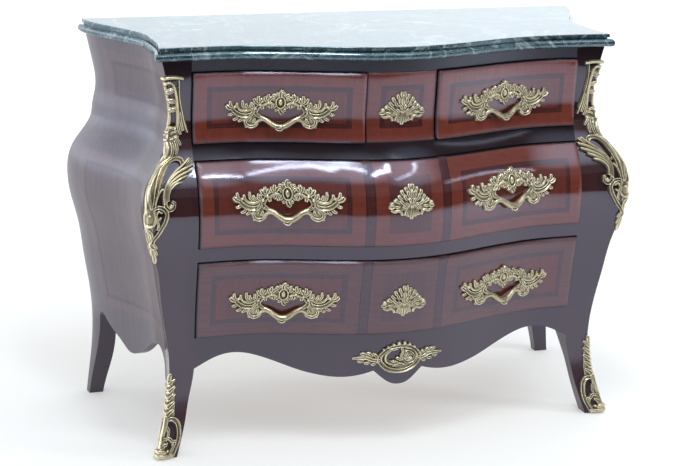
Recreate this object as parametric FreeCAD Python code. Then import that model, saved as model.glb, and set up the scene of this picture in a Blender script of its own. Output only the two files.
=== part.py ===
"""Bombe chest of drawers: two short drawers over two long ones, serpentine front, marble top, gilt mounts.

Frame: +X to the right as seen from the front, +Y to the back, +Z up, millimetres. The pieces are made
with the rear plane at y = 0, and are moved on export so that the origin lies on the floor under the
middle of the whole chest.
"""
import FreeCAD, Part
import math
import os

V = FreeCAD.Vector

# ---------------------------------------------------------------- driving dimensions
# heights, from the floor up
apron_top = 256.0
bottom_drawer_height = 176.5
lower_rail_height = 30.5
middle_drawer_height = 182.0
upper_rail_height = 32.0
top_drawer_height = 153.0
frieze_height = 26.0

# the two upright profiles: (height, distance) pairs, up to the carcass top
front_profile = [(0, 452), (60, 437), (120, 423), (190, 418), (260, 421), (340, 429), (420, 443),
                 (490, 453), (545, 453), (600, 438), (650, 405), (690, 388), (740, 384), (790, 388),
                 (856, 390)]
corner_profile = [(0, 528), (60, 514), (120, 503), (190, 499), (260, 505), (340, 518), (420, 530),
                  (490, 548), (545, 553), (600, 540), (638, 513), (655, 502), (668, 497), (692, 494),
                  (715, 489), (745, 486), (790, 493), (856, 508)]
waist_height = 745.0         # where the carcass is narrowest
crease_height = 662.0        # where the waist turns sharply into the belly
crease_reach = 30.0          # above and below it, the surfaces are drawn more closely

# the serpentine plan
front_swell = 78.0           # how far the middle of the front stands before its flanks
front_swell_reach = 380.0    # half the width of that swell
front_ear = 5.0              # forward flare of the front at the corners
front_ear_length = 105.0
side_sweep = 80.0            # how much wider each side is at the back than at the front corner
side_sweep_start = 0.35      # where the sweep begins, as a share of the depth
side_ear = 11.0              # outward flare of the side at the front corner
side_ear_length = 0.20       # as a share of the depth

# carcass
post_face = 43.0             # front face of a corner post at the waist
front_post_rear = -345.0     # rear face of the front posts and of the rails
rear_post_depth = 50.0
rear_post_inner = 530.0      # centre line to the inner face of a rear post
side_panel_thickness = 18.0
apron_thickness = 28.0
bottom_rail_height = 18.0
rear_rail_depth = 22.0
rear_rail_below = 24.0       # below the level that the drawers run on
rear_rail_above = 12.0       # above it, where the rail stops the drawer
back_panel_thickness = 8.0
back_panel_recess = 3.0
back_panel_bottom = 225.0
sub_top_thickness = 12.0
board_clearance = 0.3
centre_panel_half_width = 79.0
centre_panel_thickness = 26.0
ledge_thickness = 14.0
ledge_reach = 23.0           # how far a ledge reaches past the drawer side that it carries
guide_width = 25.0
guide_height = 16.0

# legs: (height, distance) pairs, the distance from the line of the post above
leg_inner_splay = [(0, 46), (34, 35), (75, 23), (117, 14), (149, 6), (186, 0)]
leg_rear_cut = [(0, 68), (34, 58), (75, 43), (117, 23), (140, 9), (158, 0)]
leg_bevel = [(0, 120), (75, 84), (149, 45), (195, 0)]      # from the post's inner rear corner
rear_leg_inner_splay = [(0, 30), (54, 18), (93, 9), (121, 5), (154, 3), (200, 0)]
rear_leg_front_cut = [(0, 26), (60, 20), (120, 9), (200, 0)]
rear_leg_tuck = 14.0         # a rear leg's foot stands this far inside the line of the side
rear_leg_tuck_height = 200.0

# aprons: lower edges. Front: (distance from the centre line, height), to the leg at the opening's edge
apron_centre_lobe = [(0, 138), (22, 143), (40, 156), (57, 171)]
apron_side_lobe = [(57, 171), (80, 164), (107, 159), (138, 158), (171, 162), (212, 172), (254, 188),
                   (293, 203), (327, 213), (358, 216), (389, 211), (418, 199), (443, 186)]
# side: (share of the way from the front post to the rear one, height)
side_apron = [(0, 158), (.027, 175), (.085, 192), (.166, 200), (.27, 197), (.37, 187), (.45, 167),
              (.54, 148), (.627, 142), (.715, 157), (.80, 174), (.905, 198), (.963, 211), (1, 200)]

# drawers
drawer_gap = 1.5             # all round each front
drawer_proud = 9.0           # fronts stand this far before the rails
front_edge_round = 6.0
drawer_side_setback = 11.5   # from the end of the front to the side's outer face
drawer_side_thickness = 12.0
drawer_back_thickness = 10.0
drawer_bottom_thickness = 6.0
drawer_bottom_rise = 8.0
drawer_headroom = 8.0
runner_clearance = 0.3
guide_clearance = 1.0
stop_clearance = 0.5
top_front_inner = 372.0      # distance of the fronts' inner faces from the rear plane, at the flanks
middle_front_inner = 396.0
bottom_front_inner = 408.0

# gilt mounts
plate_thickness = 5.0
corner_mount_thickness = 6.0
corner_mount_gap = 2.5       # least distance between a corner mount and the drawer openings
toe_thickness = 13.0
toe_height = 22.0
handle_from_centre = 256.0
handle_above_middle = {"top": -8.5, "middle": 6.0, "bottom": -8.5}
bail_radius = 4.2
bail_reach = 26.0
bail_half_span = 54.0
bail_end_drop = 19.0
bail_drop = 38.0
bail_overrun = 0.06          # the bail's arc goes on into the plate by this share
bolt_radius = 2.5
bolt_clearance = 0.2
bolt_half_spacing = 52.0
bolt_rise = 6.0
nut_radius = 6.5
nut_height = 5.0
nut_pocket_radius = 9.0
nut_pocket_depth = 0.6       # at its shallowest

# marble
marble_overhang = 16.0       # torus beyond the carcass
marble_lip_set_back = 9.0    # top lip behind the torus
marble_groove_depth = 4.0
marble_torus_height = 16.5
marble_groove_height = 4.0
marble_lip_height = 7.5
marble_torus_round = 7.0
marble_lip_round = 2.0

# back panel screws
screw_radius = 2.0
screw_head_radius = 4.0
screw_head_height = 1.6
screw_length = 20.0
screw_clearance = 0.05
screws_in_a_row = 4
screw_row_half_width = 480.0

# ---------------------------------------------------------------- levels
bottom_drawer_top = apron_top + bottom_drawer_height
middle_drawer_bottom = bottom_drawer_top + lower_rail_height
middle_drawer_top = middle_drawer_bottom + middle_drawer_height
top_drawer_bottom = middle_drawer_top + upper_rail_height
frieze_bottom = top_drawer_bottom + top_drawer_height
carcass_top = frieze_bottom + frieze_height
sub_top_bottom = carcass_top - sub_top_thickness
profile_scale = carcass_top / front_profile[-1][0]

back_panel_front = -back_panel_recess - back_panel_thickness
rear_rail_front = back_panel_front - rear_rail_depth
drawer_rear = rear_rail_front - stop_clearance
rear_post_front = -rear_post_depth

FAR = 900.0                  # beyond the chest on every side
MARGIN = 20.0                # how far the surfaces go on past the carcass


# ---------------------------------------------------------------- smooth profiles
class Profile:
    """A natural cubic spline through (height, distance) pairs, stretched to the carcass height."""

    def __init__(self, pairs):
        self.z = [height * profile_scale for height, _ in pairs]
        self.d = [float(distance) for _, distance in pairs]
        count = len(pairs)
        diagonal = [1.0] * count
        above = [0.0] * count
        right = [0.0] * count
        for i in range(1, count - 1):
            before = self.z[i] - self.z[i - 1]
            after = self.z[i + 1] - self.z[i]
            bend = (self.d[i + 1] - self.d[i]) / after - (self.d[i] - self.d[i - 1]) / before
            share = before / diagonal[i - 1]
            diagonal[i] = 2 * (before + after) - share * above[i - 1]
            above[i] = after
            right[i] = 6 * bend - share * right[i - 1]
        self.curve = [0.0] * count
        for i in range(count - 2, 0, -1):
            self.curve[i] = (right[i] - above[i] * self.curve[i + 1]) / diagonal[i]

    def __call__(self, height):
        i = 0
        while i < len(self.z) - 2 and height > self.z[i + 1]:
            i += 1
        step = self.z[i + 1] - self.z[i]
        low = (self.z[i + 1] - height) / step
        high = (height - self.z[i]) / step
        bend = (low ** 3 - low) * self.curve[i] + (high ** 3 - high) * self.curve[i + 1]
        return low * self.d[i] + high * self.d[i + 1] + bend * step * step / 6


front_depth = Profile(front_profile)
corner_width = Profile(corner_profile)
opening_half_width = corner_width(waist_height * profile_scale) - post_face


def swell(x):
    """Share of the front's swell at x: 1 on the centre line, 0 at its reach."""
    if abs(x) >= front_swell_reach:
        return 0.0
    return 0.5 * (1 + math.cos(math.pi * x / front_swell_reach))


def front_y(x, z):
    """The front of the carcass."""
    ear = max(0.0, 1 - (corner_width(z) - abs(x)) / front_ear_length)
    return -(front_depth(z) + front_swell * swell(x) + front_ear * ear ** 2)


def side_x(y, z):
    """The right side of the carcass."""
    depth = front_depth(z)
    share = (y + depth) / depth
    t = max(0.0, min(1.0, (share - side_sweep_start) / (1 - side_sweep_start)))
    ear = max(0.0, 1 - max(share, 0.0) / side_ear_length) ** 2
    return corner_width(z) - side_ear * (1 - ear) + (side_sweep + side_ear) * t * t * (3 - 2 * t)


# ---------------------------------------------------------------- solids from surfaces and outlines
def steps(low, high, count):
    return [low + (high - low) * i / (count - 1) for i in range(count)]


def surface_face(point, first, second):
    """A smooth face through point(a, b) for a in first and b in second."""
    surface = Part.BSplineSurface()
    surface.interpolate([[point(a, b) for b in second] for a in first])
    return surface.toShape()


def box(x0, x1, y0, y1, z0, z1):
    return Part.makeBox(x1 - x0, y1 - y0, z1 - z0, V(x0, y0, z0))


def mirrored(shape):
    return shape.mirror(V(0, 0, 0), V(1, 0, 0))


def moved(shape, x=0.0, y=0.0, z=0.0):
    copy = shape.copy()
    copy.translate(V(x, y, z))
    return copy


def edge(points):
    """A straight edge through two points, a smooth one through more."""
    if len(points) == 2:
        return Part.makeLine(points[0], points[1])
    curve = Part.BSplineCurve()
    curve.interpolate(points)
    return curve.toShape()


def prism(curves, direction):
    """A solid on the closed outline made of curves, each a list of points."""
    return Part.Face(Part.Wire([edge(points) for points in curves])).extrude(direction)


def front_prism(curves):
    """A prism along Y on an outline of (x, z) points."""
    return prism([[V(x, -FAR, z) for x, z in points] for points in curves], V(0, 2 * FAR, 0))


def side_prism(curves):
    """A prism along X, on the right half, on an outline of (y, z) points."""
    return prism([[V(0, y, z) for y, z in points] for points in curves], V(FAR, 0, 0))


def symmetric(curves):
    """Closes an outline whose right half runs down from the centre line back to the centre line."""
    left = [[(-x, z) for x, z in reversed(points)] for points in reversed(curves)]
    return curves + left


def raised(curves, centre_x, centre_z):
    return [[(centre_x + x, centre_z + z) for x, z in points] for points in curves]


def surface_heights():
    """The heights that the surfaces are drawn through."""
    low = (crease_height - crease_reach) * profile_scale
    high = (crease_height + crease_reach) * profile_scale
    top = carcass_top + MARGIN
    return steps(-MARGIN, low, 19)[:-1] + steps(low, high, 7) + steps(high, top, 7)[1:]


half_width = max(width for _, width in corner_profile) + side_sweep + MARGIN
full_depth = max(depth for _, depth in front_profile) + front_swell + 2 * MARGIN
heights = surface_heights()
widths = steps(-half_width, half_width, 33)
depths = steps(-full_depth, MARGIN, 22)
front_face = surface_face(lambda x, z: V(x, front_y(x, z), z), widths, heights)
side_face = surface_face(lambda y, z: V(side_x(y, z), y, z), depths, heights)


def behind_front(proud=0.0):
    """Everything behind the front's surface moved forward by proud."""
    return moved(front_face.extrude(V(0, FAR, 0)), y=-proud)


def inside_right_side(proud=0.0):
    """Everything to the left of the right side's surface moved outward by proud."""
    return moved(side_face.extrude(V(-2 * FAR, 0, 0)), x=proud)


def between_sides(proud=0.0):
    """Everything between the two sides' surfaces, both moved outward by proud."""
    right = inside_right_side(proud)
    return right.common(mirrored(right))


def front_shell(proud, thickness):
    """A skin of that thickness lying on the front's surface at proud."""
    return moved(front_face.extrude(V(0, thickness, 0)), y=-proud - thickness)


def body_block():
    """The outer form of the whole carcass."""
    block = box(-FAR, FAR, -FAR, 0, 0, carcass_top)
    return block.common(behind_front()).common(between_sides())


body = body_block()


def space_behind(inner):
    """Everything behind the inner face of a tier's fronts, which follows the swell in plan only."""
    reach = opening_half_width + MARGIN
    curve = [V(x, -inner - front_swell * swell(x), 0) for x in steps(-reach, reach, 31)]
    right = V(reach, 0, 0)
    left = V(-reach, 0, 0)
    curves = [curve, [curve[-1], right], [right, left], [left, curve[0]]]
    return prism(curves, V(0, 0, carcass_top))


# ---------------------------------------------------------------- carcass
def leg_bevel_cutter():
    """What the bevel takes off the inner rear corner of the right front leg."""
    slope = [V(opening_half_width, front_post_rear - distance, z) for z, distance in leg_bevel]
    foot = V(opening_half_width, MARGIN, slope[0].z)
    top = V(opening_half_width, MARGIN, slope[-1].z)
    return prism([slope, [slope[-1], top], [top, foot], [foot, slope[0]]], V(FAR, FAR, 0))


def front_post():
    """The right corner post, with its splayed leg."""
    inner = [(opening_half_width + splay, z) for z, splay in leg_inner_splay]
    top = carcass_top + MARGIN
    foot = inner[0][1]
    edges = [inner, [inner[-1], (opening_half_width, top)], [(opening_half_width, top), (FAR, top)],
             [(FAR, top), (FAR, foot)], [(FAR, foot), inner[0]]]
    rear = [(front_post_rear - cut, z) for z, cut in leg_rear_cut]
    sides = [rear, [rear[-1], (front_post_rear, top)], [(front_post_rear, top), (-FAR, top)],
             [(-FAR, top), (-FAR, foot)], [(-FAR, foot), rear[0]]]
    return body.common(front_prism(edges)).common(side_prism(sides)).cut(leg_bevel_cutter())


def tucked_side():
    """Everything to the left of the right side's surface, drawn in towards the foot of a rear leg."""
    def point(y, z):
        tuck = rear_leg_tuck * max(0.0, 1 - z / rear_leg_tuck_height) ** 2
        return V(side_x(y, z) - tuck, y, z)
    return surface_face(point, depths, heights).extrude(V(-2 * FAR, 0, 0))


def rear_post():
    """The right rear post, with its splayed leg."""
    inner = [(rear_post_inner + splay, z) for z, splay in rear_leg_inner_splay]
    top = carcass_top + MARGIN
    foot = inner[0][1]
    edges = [inner, [inner[-1], (rear_post_inner, top)], [(rear_post_inner, top), (FAR, top)],
             [(FAR, top), (FAR, foot)], [(FAR, foot), inner[0]]]
    front = [(rear_post_front + cut, z) for z, cut in rear_leg_front_cut]
    sides = [front, [front[-1], (rear_post_front, top)], [(rear_post_front, top), (MARGIN, top)],
             [(MARGIN, top), (MARGIN, foot)], [(MARGIN, foot), front[0]]]
    block = box(0, FAR, -FAR, 0, 0, carcass_top).common(tucked_side())
    return block.common(front_prism(edges)).common(side_prism(sides))


def side_panel():
    """The right side, between the posts, with its scalloped lower edge."""
    shell = side_face.extrude(V(-side_panel_thickness, 0, 0))
    span = rear_post_front - front_post_rear
    lower = [(front_post_rear + share * span, z) for share, z in side_apron]
    front_top = (front_post_rear, carcass_top)
    rear_top = (rear_post_front, carcass_top)
    edges = [lower, [lower[-1], rear_top], [rear_top, front_top], [front_top, lower[0]]]
    return shell.common(side_prism(edges))


def rail(z0, z1):
    """A solid rail between the front posts."""
    block = box(-opening_half_width, opening_half_width, -FAR, front_post_rear, z0, z1)
    return body.common(block)


apron_inner = front_depth(apron_top) - apron_thickness


def front_apron():
    """The apron under the bottom drawer, with its scalloped lower edge."""
    stretch = opening_half_width / apron_side_lobe[-1][0]
    side = [(x * stretch, z) for x, z in reversed(apron_side_lobe)]
    centre = [(x * stretch, z) for x, z in reversed(apron_centre_lobe)]
    corner = (opening_half_width, apron_top)
    outline = symmetric([[(0, apron_top), corner], [corner, side[0]], side, centre])
    skin = body.cut(space_behind(apron_inner))
    return skin.common(front_prism(outline))


def bottom_rail():
    """The rail behind the apron, which the bottom drawer runs over."""
    z0 = apron_top - bottom_rail_height
    block = box(-opening_half_width, opening_half_width, -FAR, front_post_rear, z0, apron_top)
    return space_behind(apron_inner).common(block)


def centre_panel():
    block = box(-centre_panel_half_width, centre_panel_half_width, -FAR, 0, top_drawer_bottom, frieze_bottom)
    return front_face.extrude(V(0, centre_panel_thickness, 0)).common(block)


def sub_top():
    """The board under the marble, fitted between the side panels and the posts."""
    inside = between_sides(-side_panel_thickness - board_clearance)
    front = box(-FAR, FAR, front_post_rear, rear_post_front, sub_top_bottom, carcass_top)
    rear = box(-rear_post_inner, rear_post_inner, rear_post_front, back_panel_front, sub_top_bottom,
               carcass_top)
    return inside.common(front).fuse(rear).removeSplitter()


running_levels = [apron_top, middle_drawer_bottom, top_drawer_bottom]
rear_rail_spans = [(level - rear_rail_below, level + rear_rail_above) for level in running_levels]
rear_rail_spans.append((sub_top_bottom - rear_rail_below, sub_top_bottom))


def screw_places():
    for z0, z1 in rear_rail_spans:
        for x in steps(-screw_row_half_width, screw_row_half_width, screws_in_a_row):
            yield x, (z0 + z1) / 2


def along_y(radius, x, z, y0, y1):
    return Part.makeCylinder(radius, y1 - y0, V(x, y0, z), V(0, 1, 0))


def screw_hole(x, z):
    return along_y(screw_radius + screw_clearance, x, z, -back_panel_recess - screw_length, 0)


def back_panel():
    panel = box(-rear_post_inner, rear_post_inner, back_panel_front, -back_panel_recess,
                back_panel_bottom, carcass_top)
    return panel.cut([screw_hole(x, z) for x, z in screw_places()])


def rear_rails():
    """Four rails between the rear posts; each but the top one carries runners and stops a drawer."""
    rails = [box(-rear_post_inner, rear_post_inner, rear_rail_front, back_panel_front, z0, z1)
             for z0, z1 in rear_rail_spans]
    holes = [screw_hole(x, z) for x, z in screw_places()]
    return Part.makeCompound([one.cut(holes) for one in rails])


def back_panel_screws():
    screws = []
    for x, z in screw_places():
        shank = along_y(screw_radius, x, z, -back_panel_recess - screw_length, -back_panel_recess)
        head = along_y(screw_head_radius, x, z, -back_panel_recess, screw_head_height - back_panel_recess)
        screws.append(shank.fuse(head))
    return Part.makeCompound(screws)


def runner(x_side, level):
    """An L-shaped runner: the ledge under a drawer side whose outer face is at x_side, and its guide."""
    inner = x_side - drawer_side_thickness - ledge_reach
    guide = x_side + guide_clearance
    outer = guide + guide_width
    ledge = box(inner, outer, front_post_rear, rear_rail_front, level - ledge_thickness, level)
    fence = box(guide, outer, front_post_rear, rear_rail_front, level, level + guide_height)
    return ledge.fuse(fence).removeSplitter()


def centre_runner(x_side, level):
    """The T-shaped runner between the two short drawers, whose sides' faces are at x_side."""
    outer = x_side + drawer_side_thickness + ledge_reach
    guide = x_side - guide_clearance
    ledge = box(-outer, outer, front_post_rear, rear_rail_front, level - ledge_thickness, level)
    fence = box(-guide, guide, front_post_rear, rear_rail_front, level, level + guide_height)
    return ledge.fuse(fence).removeSplitter()


outer_side_face = opening_half_width - drawer_gap - drawer_side_setback
centre_side_face = centre_panel_half_width + drawer_gap + drawer_side_setback


def runners(level, *more):
    right = runner(outer_side_face, level)
    return Part.makeCompound([right, mirrored(right)] + list(more))


# ---------------------------------------------------------------- marble
def marble_slab(overhang, z0, z1):
    """A slab with the carcass's plan at its top, enlarged by overhang at the front and the sides."""
    x = corner_width(carcass_top)
    for _ in range(30):
        y = front_y(x, carcass_top) - overhang
        x = side_x(y, carcass_top) + overhang
    front = [V(t, front_y(t, carcass_top) - overhang, z0) for t in steps(-x, x, 41)]
    side = [V(side_x(t, carcass_top) + overhang, t, z0) for t in steps(y, 0, 21)]
    left = [V(-p.x, p.y, p.z) for p in reversed(side)]
    front[0] = left[-1]
    front[-1] = side[0]
    return prism([front, side, [side[-1], left[0]], left], V(0, 0, z1 - z0))


def rounded_rim(slab, radius, level):
    """Rounds a slab's edge at that level, all but along the wall."""
    rim = [e for e in slab.Edges
           if abs(e.BoundBox.ZMin - level) < 0.01 and abs(e.BoundBox.ZMax - level) < 0.01
           and e.BoundBox.YMin < -MARGIN]
    return slab.makeFillet(radius, rim)


def marble_top():
    groove_bottom = carcass_top + marble_torus_height
    lip_bottom = groove_bottom + marble_groove_height
    top = lip_bottom + marble_lip_height
    lip_overhang = marble_overhang - marble_lip_set_back
    torus = marble_slab(marble_overhang, carcass_top, groove_bottom)
    torus = rounded_rim(torus, marble_torus_round, groove_bottom)
    torus = rounded_rim(torus, marble_torus_round, carcass_top)
    groove = marble_slab(lip_overhang - marble_groove_depth, groove_bottom, lip_bottom)
    lip = rounded_rim(marble_slab(lip_overhang, lip_bottom, top), marble_lip_round, top)
    return torus.fuse([groove, lip]).removeSplitter()


# ---------------------------------------------------------------- drawers
proud_block = behind_front(drawer_proud)


def inner_y(inner, x):
    return -inner - front_swell * swell(x)


def bolt_seat(inner, x):
    """Where a nut seats, in a flat pocket let into the curved inner face."""
    return min(inner_y(inner, x - nut_pocket_radius), inner_y(inner, x + nut_pocket_radius)) - nut_pocket_depth


def drawer_front(x0, x1, z0, z1, inner, bolts):
    block = box(x0 + drawer_gap, x1 - drawer_gap, -FAR, front_post_rear, z0 + drawer_gap, z1 - drawer_gap)
    board = proud_block.common(block).cut(space_behind(inner))
    outer = min(board.Faces, key=lambda face: face.CenterOfMass.y)
    board = board.makeFillet(front_edge_round, outer.OuterWire.Edges)
    for x, z in bolts:
        seat = bolt_seat(inner, x)
        board = board.cut(along_y(bolt_radius + bolt_clearance, x, z, -FAR, seat + 1))
        board = board.cut(along_y(nut_pocket_radius, x, z, seat, front_post_rear))
    return board


def handle_bolts(inner, bolts):
    """The bolts that hold the handles, each with its nut."""
    solids = []
    for x, z in bolts:
        seat = bolt_seat(inner, x)
        shank = along_y(bolt_radius, x, z, -FAR, seat + nut_height + 1).common(proud_block)
        corners = [V(x + nut_radius * math.cos(a), seat, z + nut_radius * math.sin(a))
                   for a in steps(0, 2 * math.pi, 7)]
        nut = Part.Face(Part.makePolygon(corners)).extrude(V(0, nut_height, 0))
        solids.append(shank.fuse(nut))
    return Part.makeCompound(solids)


def drawer_box(x0, x1, z0, z1, inner):
    """The two sides, the back and the bottom behind a front that fills that opening."""
    left = x0 + drawer_gap + drawer_side_setback
    right = x1 - drawer_gap - drawer_side_setback
    low = z0 + runner_clearance
    high = z1 - drawer_headroom
    inside_left = left + drawer_side_thickness
    inside_right = right - drawer_side_thickness
    back_front = drawer_rear - drawer_back_thickness
    floor = low + drawer_bottom_rise
    space = space_behind(inner)
    bottom = box(inside_left, inside_right, -FAR, back_front, floor, floor + drawer_bottom_thickness)
    return {
        "left_side": box(left, inside_left, -FAR, drawer_rear, low, high).common(space),
        "right_side": box(inside_right, right, -FAR, drawer_rear, low, high).common(space),
        "back": box(inside_left, inside_right, back_front, drawer_rear, low, high),
        "bottom": bottom.common(space),
    }


# ---------------------------------------------------------------- gilt mounts
# outlines of (across, up) points from the middle of each mount, right half, from the top down
handle_outline = [[(0, 46), (12, 42), (22, 32), (36, 34), (52, 29), (66, 21)],
                  [(66, 21), (84, 24), (100, 18), (114, 14)],
                  [(114, 14), (106, 2), (93, -7), (88, -18), (74, -20)],
                  [(74, -20), (66, -28), (54, -27)],
                  [(54, -27), (46, -16), (40, 0), (26, 10), (12, 6), (0, -4)]]
escutcheon_outline = [[(0, 44), (11, 35), (18, 34), (24, 23), (33, 21), (38, 9), (52, 1)],
                      [(52, 1), (42, -9), (32, -11), (25, -20), (12, -21), (0, -30)]]
apron_mount_outline = [[(0, 36), (22, 33), (42, 22), (54, 10)],
                       [(54, 10), (70, 13), (86, 8), (105, 3)],
                       [(105, 3), (88, -9), (66, -14), (48, -16)],
                       [(48, -16), (36, -27), (18, -33), (0, -34)]]
apron_mount_height = 200.0
apron_ring_half_width = 30.0
apron_ring_half_height = 15.0
escutcheon_height = {"top": 744.0, "middle": 556.0, "bottom": 330.0}

# corner mounts: (height, width on the front face, width on the side face)
upper_corner_mount = [(822, 42, 16), (806, 40, 14), (788, 30, 12), (760, 27, 12), (735, 31, 14),
                      (712, 40, 16), (700, 42, 16), (686, 36, 13), (672, 22, 9), (660, 8, 5)]
lower_corner_mount = [(658, 58, 8), (640, 60, 14), (618, 50, 17), (590, 40, 18), (560, 32, 20),
                      (530, 30, 22), (500, 24, 22), (472, 16, 16), (440, 6, 6)]
sabot = [(182, 6, 5), (165, 14, 9), (140, 18, 11), (110, 22, 13), (80, 24, 15), (50, 22, 16),
         (24, 26, 20), (0, 30, 24)]


def handle_middle(tier, z0, z1):
    return (z0 + z1) / 2 + handle_above_middle[tier]


def off_front(x, z, height):
    """A point at that height off a drawer front, square to the front in plan."""
    slope = (front_y(x + 1, z) - front_y(x - 1, z)) / 2
    outward = V(slope, -1, 0).normalize()
    return V(x, front_y(x, z) - drawer_proud, z) + outward * height


def bail(x, z):
    """The round bar of a handle: one arc that stands off the front and dips in the middle."""
    left = off_front(x - bail_half_span, z - bail_end_drop, plate_thickness / 2)
    right = off_front(x + bail_half_span, z - bail_end_drop, plate_thickness / 2)
    middle = off_front(x, z - bail_drop, bail_reach)
    arc = Part.Arc(left, middle, right).toShape().Curve
    spoke = left - arc.Center
    sweep = math.degrees(spoke.getAngle(right - arc.Center))
    axis = spoke.cross(middle - arc.Center).normalize()
    extra = bail_overrun * sweep
    start = FreeCAD.Rotation(axis, -extra).multVec(spoke)
    ring = Part.Wire(Part.makeCircle(bail_radius, arc.Center + start, axis.cross(start)))
    return Part.Face(ring).revolve(arc.Center, axis, sweep + 2 * extra)


def handle(x, z):
    """A fixed pull: a leafy plate with the bail across its open middle."""
    plate = front_shell(drawer_proud, plate_thickness)
    plate = plate.common(front_prism(raised(symmetric(handle_outline), x, z)))
    return plate.fuse(bail(x, z).cut(proud_block))


def escutcheon(z, proud):
    shell = front_shell(proud, plate_thickness)
    return shell.common(front_prism(raised(symmetric(escutcheon_outline), 0, z)))


def apron_mount():
    shell = front_shell(0, plate_thickness)
    plate = shell.common(front_prism(raised(symmetric(apron_mount_outline), 0, apron_mount_height)))
    ring = Part.Ellipse(V(0, -FAR, apron_mount_height), apron_ring_half_width, apron_ring_half_height)
    oval = Part.Wire(ring.toShape())
    oval.rotate(V(0, -FAR, apron_mount_height), V(1, 0, 0), 90)
    return plate.cut(Part.Face(oval).extrude(V(0, 2 * FAR, 0)))


def corner_skin(thickness):
    """A skin of that thickness around the right front corner."""
    near = box(opening_half_width, FAR, -FAR, front_post_rear, 0, carcass_top)
    outer = near.common(behind_front(thickness)).common(inside_right_side(thickness))
    return outer.cut(body)


def corner_mount(outline, skin):
    """A mount that wraps the right front corner: the skin, cut to its widths on the two faces."""
    least = opening_half_width + corner_mount_gap
    front = [(max(least, corner_width(z * profile_scale) - wide), z * profile_scale)
             for z, wide, _ in outline]
    side = [(wide - front_depth(z * profile_scale), z * profile_scale) for z, _, wide in outline]
    top = front[0][1]
    foot = front[-1][1]
    on_front = [front, [front[-1], (FAR, foot)], [(FAR, foot), (FAR, top)], [(FAR, top), front[0]]]
    on_side = [side, [side[-1], (-FAR, foot)], [(-FAR, foot), (-FAR, top)], [(-FAR, top), side[0]]]
    return skin.common(front_prism(on_front)).common(side_prism(on_side))


def sabot_mount(skin):
    """The mount of a front leg, with the thicker toe that it stands on."""
    toe = corner_mount(sabot, corner_skin(toe_thickness)).common(box(0, FAR, -FAR, 0, 0, toe_height))
    return corner_mount(sabot, skin).fuse(toe).removeSplitter()


# ---------------------------------------------------------------- all pieces
pieces = {}


def add_pair(name, shape):
    """A right-hand piece and its mirror image."""
    pieces[name.format("right")] = shape
    pieces[name.format("left")] = mirrored(shape)


def add_carcass():
    add_pair("front_{}_post", front_post())
    add_pair("rear_{}_post", rear_post())
    add_pair("{}_side_panel", side_panel())
    pieces["frieze_rail"] = rail(frieze_bottom, carcass_top)
    pieces["upper_rail"] = rail(middle_drawer_top, top_drawer_bottom)
    pieces["lower_rail"] = rail(bottom_drawer_top, middle_drawer_bottom)
    pieces["bottom_rail"] = bottom_rail()
    pieces["front_apron"] = front_apron()
    pieces["centre_panel"] = centre_panel()
    pieces["sub_top"] = sub_top()
    pieces["back_panel"] = back_panel()
    pieces["back_panel_screws"] = back_panel_screws()
    pieces["rear_rails"] = rear_rails()
    middle = centre_runner(centre_side_face, top_drawer_bottom)
    pieces["top_drawer_runners"] = runners(top_drawer_bottom, middle)
    pieces["middle_drawer_runners"] = runners(middle_drawer_bottom)
    pieces["bottom_drawer_runners"] = runners(apron_top)
    pieces["marble_top"] = marble_top()


def add_mounts():
    skin = corner_skin(corner_mount_thickness)
    add_pair("{}_upper_corner_mount", corner_mount(upper_corner_mount, skin))
    add_pair("{}_lower_corner_mount", corner_mount(lower_corner_mount, skin))
    add_pair("{}_sabot", sabot_mount(skin))
    pieces["apron_mount"] = apron_mount()
    pieces["centre_escutcheon"] = escutcheon(escutcheon_height["top"], 0)


def add_drawer(name, tier, x0, x1, z0, z1, inner, handles):
    """One drawer in its opening, with a handle at each x in handles."""
    middle = handle_middle(tier, z0, z1)
    bolts = [(x + side * bolt_half_spacing, middle + bolt_rise) for x in handles.values() for side in (-1, 1)]
    pieces[name + "_front"] = drawer_front(x0, x1, z0, z1, inner, bolts)
    for part, shape in drawer_box(x0, x1, z0, z1, inner).items():
        pieces[name + "_" + part] = shape
    for label, x in handles.items():
        pieces[label] = handle(x, middle)
    pieces[name + "_handle_bolts"] = handle_bolts(inner, bolts)


def add_drawers():
    short = (centre_panel_half_width, opening_half_width)
    for side, sign in (("left", -1), ("right", 1)):
        x0, x1 = sorted(sign * x for x in short)
        handles = {"top_" + side + "_handle": sign * handle_from_centre}
        add_drawer("top_" + side + "_drawer", "top", x0, x1, top_drawer_bottom, frieze_bottom,
                   top_front_inner, handles)
    long_tiers = (("middle", middle_drawer_bottom, middle_drawer_top, middle_front_inner),
                  ("bottom", apron_top, bottom_drawer_top, bottom_front_inner))
    for tier, z0, z1, inner in long_tiers:
        handles = {tier + "_left_handle": -handle_from_centre, tier + "_right_handle": handle_from_centre}
        add_drawer(tier + "_drawer", tier, -opening_half_width, opening_half_width, z0, z1, inner, handles)
        pieces[tier + "_escutcheon"] = escutcheon(escutcheon_height[tier], drawer_proud)


def export():
    os.makedirs("parts", exist_ok=True)
    bounds = FreeCAD.BoundBox()
    for shape in pieces.values():
        bounds.add(shape.optimalBoundingBox(False, False))
    for name, shape in pieces.items():
        moved(shape, y=-bounds.Center.y).exportStep("parts/" + name + ".step")
        solids = len(shape.Solids)
        print(f"{name:32s} {'ok' if shape.isValid() else 'BAD'} {solids:3d} {shape.Volume / 1000:10.1f} cm3")
    print("moved back by", -bounds.Center.y, bounds)


add_carcass()
add_mounts()
add_drawers()
export()
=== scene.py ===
"""Looks of the bombe chest: veneers and marble on the CAD nodes, cast gilt ornament, and a studio."""

import math

import bpy
import numpy as np
from mathutils import Matrix, Quaternion, Vector


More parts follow.
